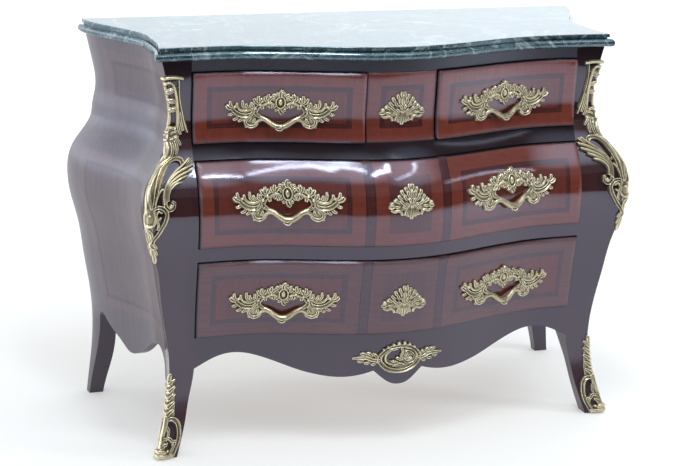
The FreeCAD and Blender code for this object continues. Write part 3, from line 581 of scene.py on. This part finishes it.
class Value:
    """A number in a node tree. Arithmetic on it adds Math nodes."""

    def __init__(self, tree, socket):
        self.tree = tree
        self.socket = socket

    def math(self, operation, *others):
        node = new_node(self.tree, "Math", dict(enumerate((self, *others))))
        node.operation = operation
        return Value(self.tree, node.outputs[0])

    def __add__(self, other):
        return self.math("ADD", other)

    def __sub__(self, other):
        return self.math("SUBTRACT", other)

    def __mul__(self, other):
        return self.math("MULTIPLY", other)

    def __neg__(self):
        return self * -1

    def __abs__(self):
        return self.math("ABSOLUTE")

    def smaller(self, other):
        return self.math("MINIMUM", other)

    def larger(self, other):
        return self.math("MAXIMUM", other)

    def above(self, level, blur=0.0006):
        """1 where the value is above the level, 0 below it, with a short blend."""
        share = self.ramp(level - blur, level + blur)
        share.socket.node.interpolation_type = "SMOOTHSTEP"
        return share

    def ramp(self, low, high, to_low=0.0, to_high=1.0):
        """To_low where the value is low or less, to_high where it is high or more, straight between."""
        node = new_node(self.tree, "MapRange", {"Value": self, "From Min": low, "From Max": high,
                                                "To Min": to_low, "To Max": to_high})
        return Value(self.tree, node.outputs[0])


def srgb(red, green, blue):
    """A colour given on the 0 to 255 scale of a screen."""
    shares = [c / 255 for c in (red, green, blue)]
    linear = [c / 12.92 if c <= 0.0392 else ((c + 0.055) / 1.055) ** 2.4 for c in shares]
    return (*linear, 1.0)


def mix(tree, factor, first, second, blend="MIX"):
    """The first colour or vector where the factor is 0, and the second over it where it is 1."""
    node = new_node(tree, "Mix", {"Factor": factor, 6: first, 7: second})
    node.data_type = "RGBA"
    node.blend_type = blend
    return node.outputs[2]


def place(tree):
    """Object coordinates: metres in the row frame, for every CAD node and piece at rest."""
    return new_node(tree, "TexCoord", {}).outputs["Object"]


def split(tree, vector):
    return [Value(tree, out) for out in new_node(tree, "SeparateXYZ", {0: vector}).outputs]


def vector_math(tree, operation, *vectors):
    node = new_node(tree, "VectorMath", dict(enumerate(vectors)))
    node.operation = operation
    return node


def noise(tree, vector, scale, detail=3.0, roughness=0.5, distortion=0.0):
    node = new_node(tree, "TexNoise", {"Vector": vector, "Scale": scale, "Detail": detail,
                                       "Roughness": roughness, "Distortion": distortion})
    return Value(tree, node.outputs["Fac"])


def bump(tree, height, distance, strength=1.0):
    values = {"Height": height, "Distance": distance, "Strength": strength}
    return new_node(tree, "Bump", values).outputs[0]


def new_material(name):
    material = bpy.data.materials.new(name)
    material.use_nodes = True
    tree = material.node_tree
    return material, tree, tree.nodes["Principled BSDF"]


# ---- veneers and lacquer
lacquer_tint = (0.68, 0.76, 0.98, 1.0)
lacquer_ior = 1.9
lacquer_roughness = 0.06
side_roughness = 0.32        # the sides are duller than the drawers
frieze_roughness = 0.25      # and so is the frieze
rail_roughness = 0.16        # and the rail in the shade under the top drawers
rail_ior = 1.45
worn_roughness = 0.30        # of the legs near the floor
worn_levels = (0.04, 0.24)   # metres: worn below the first, as new above the second
peel_scale = 160.0           # of the lacquer's orange peel
peel_depth = 0.00002
edge_rounding = 0.012        # of the drawer fronts' edges, in the lacquer only
along_grain = 5.0            # noise cells per metre along and across the grain
across_grain = 120.0
figure_share = 0.25          # of cloudy figure in the wood's tone, beside its streaks
grain_dark = (0.78, 0.702, 0.702, 1)
grain_light = (1.14, 1.11, 1.08, 1)
pore_shade = (0.3, 0.25, 0.25, 1)
pore_share = 0.14

field_red = srgb(92, 44, 35)
border_red = srgb(103, 50, 38)
centre_brown = srgb(78, 38, 31)
line_dark = srgb(68, 34, 31)
border_brown = srgb(87, 50, 44)      # the bottom drawer is browner than the rest
bottom_centre_brown = srgb(80, 46, 41)
bottom_line = srgb(68, 40, 39)
# painted shade: the dark edge of each front stands for the shadow in the gap round it
edge_painted_shade = srgb(26, 15, 18)
carcass_brown = srgb(56, 31, 31)
# painted shade: a darker copy of the carcass brown, for the frieze and post tops under the marble and
# the rail under the top drawers
rail_brown_painted_shade = srgb(30, 18, 20)
# painted sheen: the sides' browns are greyed and lightened for the pale reflection along them
side_brown_painted_sheen = srgb(93, 82, 84)
side_border_painted_sheen = srgb(102, 85, 85)
side_line_painted_sheen = srgb(83, 71, 74)
side_field_painted_sheen = srgb(96, 80, 81)

# in metres
edge_shade_width = 0.0016          # painted shade along the edge of each front, for the shadow in the gap round it
border_width = 0.030
line_width = 0.011
divider_inner = 0.078        # the dark dividers of a long drawer lie from here
divider_outer = 0.096        # to here, on each side of its middle
side_border_width = 0.022
side_line_width = 0.009
frieze_level = 0.81          # above it, the front posts are as dark as the frieze, in painted shade
rear_leg_top = 0.20          # above it, the rear posts take the sides' colours, with their painted sheen
# inlaid on the sides: (centre's y, centre's z, half length, half height)
side_rectangles = [(0.04, 0.765, 0.165, 0.062), (0.04, 0.42, 0.165, 0.185)]


def grained(tree, point, axis):
    """Noise coordinates that are drawn out along the axis, x, y or z."""
    scale = [along_grain if name == axis else across_grain for name in "xyz"]
    return vector_math(tree, "MULTIPLY", point, scale).outputs[0]


def lacquered(tree, shader, colour, vector, gloss=lacquer_roughness, rounding=0.0, ior=lacquer_ior):
    """Wood grain over the colour, under a clear gloss with a little orange peel.

    Rounding is the radius, in metres, over which the lacquer softens the edges.
    """
    point = place(tree)
    streak = noise(tree, vector, 1.0, 5.0, 0.62, 0.35).ramp(0.3, 0.72)
    figure = noise(tree, point, 9.0, 2.0, 0.5, 0.8).ramp(0.3, 0.7)
    pores = noise(tree, vector, 5.0, 2.0, 0.6).above(0.66, 0.05)
    shade = mix(tree, streak * (1 - figure_share) + figure * figure_share, grain_dark, grain_light)
    shade = mix(tree, pores * pore_share, shade, pore_shade)
    normal = bump(tree, noise(tree, point, peel_scale, 1.0), peel_depth)
    if rounding:
        soft = new_node(tree, "Bevel", {"Radius": rounding})
        soft.samples = 4
        feed(tree, normal.node, {"Normal": soft.outputs[0]})
    feed(tree, shader, {"Base Color": mix(tree, 1.0, colour, shade, "MULTIPLY"),
                        "Roughness": split(tree, point)[2].ramp(*worn_levels, worn_roughness, gloss),
                        "IOR": ior, "Specular Tint": lacquer_tint, "Normal": normal})


def panel(across, up, half_width, half_height):
    """Distance inside a rectangle, and the mask of the parts nearer its left or right edge."""
    from_side = -abs(across) + half_width
    from_end = -abs(up) + half_height
    return from_side.smaller(from_end), (from_end - from_side).above(0.0)


def banded(tree, depth, field, border, line):
    """A field, a dark line round it, a border, and painted shade along the outer edge for the gap's
    shadow, by distance from the edge.
    """
    colour = mix(tree, depth.above(edge_shade_width), edge_painted_shade, border)
    colour = mix(tree, depth.above(border_width), colour, line)
    return mix(tree, depth.above(border_width + line_width), colour, field)


def drawer_veneer(name, node, parts, border=border_red, line=line_dark, middle_field=centre_brown):
    """The veneer of one drawer front. Parts is 1 for a single panel, 3 for left, centre and right."""
    low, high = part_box(node)
    material, tree, shader = new_material(name)
    point = place(tree)
    x, _, z = split(tree, point)
    up = z - (low.z + high.z) / 2
    half_height = (high.z - low.z) / 2
    if parts == 1:
        across = x - (low.x + high.x) / 2
        depth, stile = panel(across, up, (high.x - low.x) / 2, half_height)
        colour = banded(tree, depth, field_red, border, line)
    else:
        wing = abs(x)
        across = wing - (divider_outer + high.x) / 2
        depth, stile = panel(across, up, (high.x - divider_outer) / 2, half_height)
        wings = banded(tree, depth, field_red, border, line)
        inner, inner_stile = panel(x, up, divider_inner, half_height)
        centre = banded(tree, inner, middle_field, border, middle_field)
        colour = mix(tree, wing.above(divider_inner), centre, line)
        colour = mix(tree, wing.above(divider_outer), colour, wings)
        depth = depth.larger(inner)
        stile = stile.larger(inner_stile)
    in_border = (-depth).above(-border_width)
    vector = mix(tree, in_border * stile, grained(tree, point, "z"), grained(tree, point, "x"))
    lacquered(tree, shader, colour, vector, rounding=edge_rounding)
    return material


def carcass_veneer(name, axis, colour, gloss=lacquer_roughness, ior=lacquer_ior):
    material, tree, shader = new_material(name)
    lacquered(tree, shader, colour, grained(tree, place(tree), axis), gloss, ior=ior)
    return material


def side_veneer_painted_sheen():
    """The sides: an upper and a lower inlaid rectangle in a brown ground, all greyed and lightened as
    painted sheen.
    """
    material, tree, shader = new_material("side_veneer_painted_sheen")
    point = place(tree)
    _, y, z = split(tree, point)
    colour = side_brown_painted_sheen
    for centre_y, centre_z, half_length, half_height in side_rectangles:
        depth, _ = panel(y - centre_y, z - centre_z, half_length, half_height)
        colour = mix(tree, depth.above(0.0), colour, side_border_painted_sheen)
        colour = mix(tree, depth.above(side_border_width), colour, side_line_painted_sheen)
        colour = mix(tree, depth.above(side_border_width + side_line_width), colour, side_field_painted_sheen)
    lacquered(tree, shader, colour, grained(tree, point, "z"), side_roughness)
    return material


def post_veneer(name, level, upper_colour, gloss):
    """A post that is as brown as the carcass up to a level, and has another colour above it."""
    material, tree, shader = new_material(name)
    point = place(tree)
    height = split(tree, point)[2]
    colour = mix(tree, height.above(level, 0.03), carcass_brown, upper_colour)
    lacquered(tree, shader, colour, grained(tree, point, "z"), gloss)
    return material


# ---- bare wood, marble and metals
# woods: light colour, dark colour, roughness
secondary = (srgb(178, 140, 98), srgb(130, 92, 58), 0.5)
plywood = (srgb(188, 152, 108), srgb(150, 112, 74), 0.55)

marble_dark = srgb(24, 42, 50)
marble_light = srgb(45, 70, 78)
marble_speck = srgb(112, 142, 142)
marble_vein = srgb(206, 222, 218)
marble_veins = [(2.6, 0.012, 0.26), (6.0, 0.012, 0.18), (15.0, 0.014, 0.14)]    # scale, width, strength
marble_roughness = 0.09
marble_ior = 2.15
marble_tint = (0.66, 0.83, 1.0, 1.0)

gilt_painted_shade = srgb(64, 59, 42)
gilt_pale = srgb(211, 199, 166)
gilt_painted_highlight = srgb(255, 248, 226)
gilt_shade_sharpness = (0.475, 0.545)        # how sharp the metal is, from hollows in painted shade to pale faces
gilt_highlight_sharpness = (0.525, 0.585)          # and on to edges with a painted highlight
gilt_metallic = 0.85
grit_depth = 0.00012

steel_dark = srgb(120, 118, 112)
steel_light = srgb(176, 176, 172)


def plain_wood(name, axis, light, dark, gloss):
    """Bare wood with open pores."""
    material, tree, shader = new_material(name)
    vector = grained(tree, place(tree), axis)
    grain = noise(tree, vector, 0.6, 5.0, 0.6, 0.6)
    pores = noise(tree, vector, 4.0, 2.0)
    colour = mix(tree, grain.ramp(0.3, 0.7), dark, light)
    feed(tree, shader, {"Base Color": mix(tree, pores.above(0.64, 0.04) * 0.5, colour, dark),
                        "Roughness": grain.ramp(0.2, 0.8, gloss + 0.08, gloss),
                        "Normal": bump(tree, pores, 0.0002, 0.6)})
    return material


def marble_material():
    """Dark green marble with fine pale veins, polished."""
    material, tree, shader = new_material("marble")
    point = place(tree)
    cloud = noise(tree, point, 6.0, 6.0, 0.6, 0.6)
    speck = noise(tree, point, 42.0, 5.0, 0.65, 0.4)
    colour = mix(tree, cloud.ramp(0.3, 0.7), marble_dark, marble_light)
    colour = mix(tree, speck.ramp(0.4, 0.8) * 0.35, colour, marble_speck)
    for scale, width, strength in marble_veins:
        field = noise(tree, point, scale, 4.0, 0.55, 1.6)
        vein = (-abs(field - 0.5) + width).ramp(0.0, width) * strength
        colour = mix(tree, vein, colour, marble_vein)
    feed(tree, shader, {"Base Color": colour, "Roughness": marble_roughness, "IOR": marble_ior,
                        "Specular Tint": marble_tint})
    return material


def gilt_material():
    """Gilding: pale gold on the high places, painted shade in the hollows, a painted highlight on the
    sharp edges, a little unevenly burnished.
    """
    material, tree, shader = new_material("gilt")
    point = place(tree)
    sharpness = Value(tree, new_node(tree, "NewGeometry", {}).outputs["Pointiness"])
    patches = noise(tree, point, 60.0, 4.0, 0.6)
    high = sharpness + patches * 0.03
    # painted shade in the hollows and a painted highlight on sharp edges, from how sharp the metal is
    colour = mix(tree, high.ramp(*gilt_shade_sharpness), gilt_painted_shade, gilt_pale)
    feed(tree, shader, {"Base Color": mix(tree, high.ramp(*gilt_highlight_sharpness), colour, gilt_painted_highlight),
                        "Metallic": gilt_metallic, "Roughness": patches.ramp(0.3, 0.7, 0.24, 0.40),
                        "Normal": bump(tree, noise(tree, point, 700.0, 2.0), grit_depth, 0.5)})
    return material


def steel_material():
    material, tree, shader = new_material("steel")
    patches = noise(tree, place(tree), 90.0, 4.0)
    feed(tree, shader, {"Base Color": mix(tree, patches.ramp(0.3, 0.7), steel_dark, steel_light),
                        "Metallic": 1.0, "Roughness": patches.ramp(0.3, 0.7, 0.3, 0.5)})
    return material


# ---- materials onto the CAD nodes
def dress(names, material):
    for name in names:
        mesh = nodes[name].data
        mesh.materials.clear()
        mesh.materials.append(material)


gilt = gilt_material()
steel = steel_material()
secondary_long = plain_wood("secondary_wood", "y", *secondary)
secondary_wide = plain_wood("secondary_wood_wide", "x", *secondary)

dress(["lower_rail", "front_apron"], carcass_veneer("carcass_upright", "z", carcass_brown))
dress(["front_left_post", "front_right_post"],
      post_veneer("front_post_veneer", frieze_level, rail_brown_painted_shade, lacquer_roughness))
dress(["rear_left_post", "rear_right_post"],
      post_veneer("rear_post_veneer", rear_leg_top, side_brown_painted_sheen, side_roughness))
dress(["frieze_rail"], carcass_veneer("frieze_veneer", "x", rail_brown_painted_shade, frieze_roughness))
dress(["upper_rail"], carcass_veneer("upper_rail_veneer", "x", rail_brown_painted_shade, rail_roughness, rail_ior))
dress(["left_side_panel", "right_side_panel"], side_veneer_painted_sheen())
dress(["bottom_rail", "rear_rails", "sub_top"], secondary_wide)
dress(["top_drawer_runners", "middle_drawer_runners", "bottom_drawer_runners"], secondary_long)
dress(["back_panel"], plain_wood("plywood", "z", *plywood))
dress(["back_panel_screws"], steel)
dress(["marble_top"], marble_material())
dress(["centre_panel"], drawer_veneer("centre_veneer", "centre_panel", 1))

drawers = {"top_left_drawer": [1], "top_right_drawer": [1], "middle_drawer": [3],
           "bottom_drawer": [3, border_brown, bottom_line, bottom_centre_brown]}
for drawer, veneer in drawers.items():
    dress([drawer + "_front"], drawer_veneer(drawer + "_veneer", drawer + "_front", *veneer))
    dress([drawer + "_left_side", drawer + "_right_side"], secondary_long)
    dress([drawer + "_back", drawer + "_bottom"], secondary_wide)
    dress([drawer + "_handle_bolts"], steel)
dress([name for name in nodes if name.endswith(("_handle", "_escutcheon", "_mount", "_sabot"))], gilt)
for name, thing in nodes.items():
    if not name.endswith(("_bolts", "_screws")):
        thing.data.shade_smooth()

# ---- ornament in place, in millimetres; levels are above the floor
handle_from_centre = 256.0
handle_levels = {"top": 745.0, "middle": 560.0, "bottom": 335.75}
escutcheon_levels = {"centre": 744.0, "middle": 556.0, "bottom": 330.0}
apron_mount_level = 200.0

points, faces = handle_drawing()
for level, z in handle_levels.items():
    for side, x in (("left", -handle_from_centre), ("right", handle_from_centre)):
        body = f"top_{side}_drawer" if level == "top" else f"{level}_drawer"
        gilt_piece(f"{level}_{side}_pull", body, f"{level}_{side}_handle",
                   off_front(points, x, z, drawer_proud), faces)

points, faces = escutcheon_drawing()
for level, z in escutcheon_levels.items():
    body, proud = ("chest", 0.0) if level == "centre" else (f"{level}_drawer", drawer_proud)
    gilt_piece(f"{level}_leaf_escutcheon", body, f"{level}_escutcheon",
               off_front(points, 0.0, z, proud), faces)

points, faces = apron_drawing()
gilt_piece("apron_cartouche", "chest", "apron_mount",
           off_front(points, 0.0, apron_mount_level, 0.0), faces)

for name, node, drawing in [("pierced_strap", "upper_corner_mount", upper_corner_drawing),
                            ("leaf_spray", "lower_corner_mount", lower_corner_drawing),
                            ("scrolled_sabot", "sabot", sabot_drawing)]:
    points, faces = drawing()
    points = off_corner(points)
    points[:, 2] = np.maximum(points[:, 2], 0.0)
    for side in ("left", "right"):
        gilt_piece(f"{side}_{name}", "chest", f"{side}_{node}", points, faces, flip=side == "left")

# ---- studio
camera_place = (-1.3842, -3.7392, 1.5482)
camera_yaw = 0.3447          # from +Y towards +X
camera_pitch = 0.2759        # downward
camera_roll = 0.0288
camera_lens = 93.65
sensor_width = 36.0

cool = (0.93, 0.97, 1.0, 1.0)            # of all the light; the floor's paint evens it out
floor_reach = 30.0
floor_paint = (0.57, 0.575, 0.57, 1.0)
floor_painted_glow = (0.32, 0.60)                # painted light: the floor glows a little, less near the chest, which paints a soft shade round it, and more so far away
floor_painted_glow_from = (0.6, 3.0)             # between these distances from the middle
flag_paint = (0.02, 0.02, 0.02, 1)
flag_y = -3.4
flag_across = (-4, 8)
flag_up = (0.001, 1.58)
# name, position, target, (length, width), watts, roll, whether gloss mirrors it
lamps = [("strip_left", (-0.39, -1.9, 2.94), (-0.2, -0.2, 0.63), (0.67, 0.03), 1.4, -0.10, True),
         ("strip_right", (1.2, -1.9, 2.92), (0.0, -0.2, 0.63), (1.4, 0.035), 2.8, 0.139, True),
         ("strip_far", (3.0, -1.9, 2.3), (0.2, -0.2, 0.6), (1.3, 0.06), 2.8, 0.0, True),
         ("strip_corner", (0.27, -1.9, 2.84), (-0.4, -0.2, 0.61), (0.5, 0.035), 2.2, 0.0, True),
         ("edge", (-0.26, -1.0, 3.0), (-0.26, -0.9, 0), (0.36, 1.0), 26, 0.0, True),
         ("key", (3.2, -1.5, 1.5), (0, 0, 0.1), (0.8, 0.8), 46, 0.0, False),
         ("overhead", (2.5, 1.5, 3.0), (0, 0.2, 0), (4.0, 3.0), 25, 0.0, False)]
world_dim = 0.22
world_behind = (1.1, 1.7)                # from the left to the right
world_above = 0.95
world_left = 1.6
# soft glows in front and above: azimuth from -Y towards +X, elevation, reach in degrees, strength
world_glows = [(-6, 51, 13, 1.8), (33, 47, 19, 1.8)]


def make_camera():
    forward = Vector((math.sin(camera_yaw) * math.cos(camera_pitch),
                      math.cos(camera_yaw) * math.cos(camera_pitch), -math.sin(camera_pitch)))
    level = Vector((math.cos(camera_yaw), -math.sin(camera_yaw), 0))
    above = level.cross(forward)
    right = level * math.cos(camera_roll) + above * math.sin(camera_roll)
    up = above * math.cos(camera_roll) - level * math.sin(camera_roll)
    data = bpy.data.cameras.new("camera")
    data.lens = camera_lens
    data.sensor_width = sensor_width
    data.sensor_fit = "HORIZONTAL"
    data.clip_end = 200
    camera = bpy.data.objects.new("camera", data)
    turn = Matrix((right, up, -forward)).transposed().to_4x4()
    camera.matrix_world = Matrix.Translation(camera_place) @ turn
    scene.collection.objects.link(camera)
    scene.camera = camera


def sheet_of(name, corners, material):
    thing = new_object(name, corners, [[0, 1, 2, 3]])
    thing.data.materials.append(material)
    return thing


def area_light(name, position, target, size, power, roll, glossy):
    data = bpy.data.lights.new(name, "AREA")
    data.shape = "RECTANGLE"
    data.size, data.size_y = size
    data.energy = power
    light = bpy.data.objects.new(name, data)
    light.location = position
    aim = (Vector(target) - Vector(position)).to_track_quat("-Z", "Y")
    light.rotation_euler = (aim @ Quaternion((0, 0, 1), roll)).to_euler()
    light.visible_camera = False
    light.visible_glossy = glossy
    data.color = cool[:3]
    scene.collection.objects.link(light)


def make_world():
    """Bright behind the chest and above it, as the backdrop is, and dim in front.

    The ramps run over the x, y and z parts of the direction.
    """
    world = bpy.data.worlds.new("studio")
    world.use_nodes = True
    scene.world = world
    tree = world.node_tree
    direction = new_node(tree, "TexCoord", {}).outputs["Generated"]
    x, y, z = split(tree, direction)
    low = z.ramp(0.8, 0.3)
    behind = y.ramp(0.0, 0.6) * low * x.ramp(-0.3, 0.4, *world_behind)
    left = (-x).ramp(0.3, 0.8) * low * world_left
    above = z.ramp(0.70, 0.95) * world_above
    light = behind + left + above + world_dim
    for azimuth, elevation, reach, strength in world_glows:
        azimuth, elevation, reach = (math.radians(angle) for angle in (azimuth, elevation, reach))
        aim = (math.sin(azimuth) * math.cos(elevation), -math.cos(azimuth) * math.cos(elevation),
               math.sin(elevation))
        nearness = Value(tree, vector_math(tree, "DOT_PRODUCT", direction, aim).outputs["Value"])
        light = light + nearness.ramp(math.cos(reach), 1.0, 0.0, strength)
    feed(tree, tree.nodes["Background"], {"Color": cool, "Strength": light})


def make_studio():
    """A large floor with a painted glow, less near the chest, a dark flag before the chest, which its
    gloss mirrors, and the lamps.
    """
    paint, tree, shader = new_material("floor")
    away = Value(tree, vector_math(tree, "LENGTH", place(tree)).outputs["Value"])
    # painted light: the floor's emission grows with the distance from the middle
    feed(tree, shader, {"Base Color": floor_paint, "Roughness": 0.8, "Emission Color": (1, 1, 1, 1),
                        "Emission Strength": away.ramp(*floor_painted_glow_from, *floor_painted_glow)})
    reach = floor_reach
    sheet_of("floor", [(-reach, -reach, 0), (reach, -reach, 0), (reach, reach, 0), (-reach, reach, 0)],
             paint)
    paint, tree, shader = new_material("flag")
    feed(tree, shader, {"Base Color": flag_paint, "Roughness": 0.9})
    (left, right), (low, high) = flag_across, flag_up
    flag = sheet_of("flag", [(left, flag_y, low), (right, flag_y, low), (right, flag_y, high),
                             (left, flag_y, high)], paint)
    flag.visible_camera = False
    for lamp in lamps:
        area_light(*lamp)


make_camera()
make_studio()
make_world()
scene.view_settings.view_transform = "Standard"
